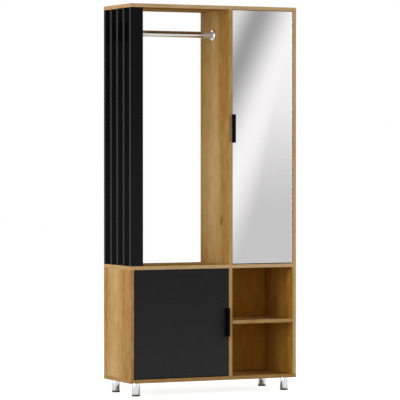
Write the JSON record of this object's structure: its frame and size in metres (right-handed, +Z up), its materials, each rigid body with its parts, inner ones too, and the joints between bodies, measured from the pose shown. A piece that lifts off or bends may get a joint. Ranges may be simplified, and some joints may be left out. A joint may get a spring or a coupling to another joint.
{
  "type": "wardrobe",
  "caption": "Tall wardrobe with a slatted open hanging bay, a mirror door over shelves, a low cabinet with a dark door, open compartments and round legs.",
  "frame": {"origin": "middle of the footprint box on the floor, with the box taken over the closed doors' handles", "axes": "+Z up, the front faces -Y, +X to the right as seen from the front"},
  "size_m": [0.9, 0.349, 1.907],
  "materials": {
    "oak_laminate": "satin oak foil with upright grain",
    "back_sheet": "matt oak foil on thin board",
    "black_laminate": "matt black foil",
    "charcoal_laminate": "matt charcoal foil",
    "mirror_backing": "matt charcoal foil",
    "mirror": "silvered flat glass",
    "chrome_rail": "polished",
    "chrome_leg": "polished",
    "black_handle": "satin black",
    "black_plastic": "matt",
    "zinc_steel": "bright zinc",
    "beech_dowel": "bare, fluted",
    "black_nylon": "plain"
  },
  "bodies": {
    "carcass": {"bottom_panel": "oak_laminate", "top_panel": "oak_laminate", "mid_shelf": "oak_laminate", "left_side_panel": "oak_laminate", "right_side_panel": "oak_laminate", "lower_divider": "oak_laminate", "upper_divider": "oak_laminate", "open_shelf": "oak_laminate", "cabinet_shelf": "oak_laminate", "column_shelf_1": "oak_laminate", "column_shelf_2": "oak_laminate", "column_shelf_3": "oak_laminate", "column_shelf_4": "oak_laminate", "lower_back": "back_sheet", "column_back": "back_sheet", "slat_1": "black_laminate", "slat_2": "black_laminate", "slat_3": "black_laminate", "slat_4": "black_laminate", "slat_5": "black_laminate", "rail_batten": "black_laminate", "hanging_rail": "chrome_rail", "rail_socket_left": "chrome_rail", "rail_socket_right": "chrome_rail", "leg_front_left": "chrome_leg", "leg_front_right": "chrome_leg", "leg_back_left": "chrome_leg", "leg_back_right": "chrome_leg", "glide_front_left": "black_plastic", "glide_front_right": "black_plastic", "glide_back_left": "black_plastic", "glide_back_right": "black_plastic", "leg_bolts": "zinc_steel", "shelf_pins": "zinc_steel", "cam_locks": "zinc_steel", "cam_bolts": "zinc_steel", "dowels": "beech_dowel", "base_screws": "zinc_steel", "slat_screws": "zinc_steel", "wood_screws": "zinc_steel", "wall_angle": "zinc_steel", "mirror_pivot_bottom": "zinc_steel", "mirror_pivot_top": "zinc_steel", "dark_pivot_bottom": "zinc_steel", "dark_pivot_top": "zinc_steel", "door_catches": "black_plastic"},
    "mirror_door": {"mirror_board": "mirror_backing", "mirror_glass": "mirror", "mirror_handle": "black_handle", "mirror_handle_screws": "zinc_steel", "mirror_bushes": "black_nylon", "mirror_strikes": "zinc_steel"},
    "dark_door": {"dark_board": "charcoal_laminate", "dark_handle": "black_handle", "dark_handle_screws": "zinc_steel", "dark_bushes": "black_nylon", "dark_strike": "zinc_steel"}
  },
  "joints": [
    {"name": "mirror_door_hinge", "type": "hinge", "parent": "carcass", "child": "mirror_door", "pos_m": [0.41069, -0.1435, 0.634], "axis": [0, 0, 1], "range_deg": [0, 110]},
    {"name": "dark_door_hinge", "type": "hinge", "parent": "carcass", "child": "dark_door", "pos_m": [-0.41069, -0.1465, 0.083], "axis": [0, 0, -1], "range_deg": [0, 110]}
  ]
}
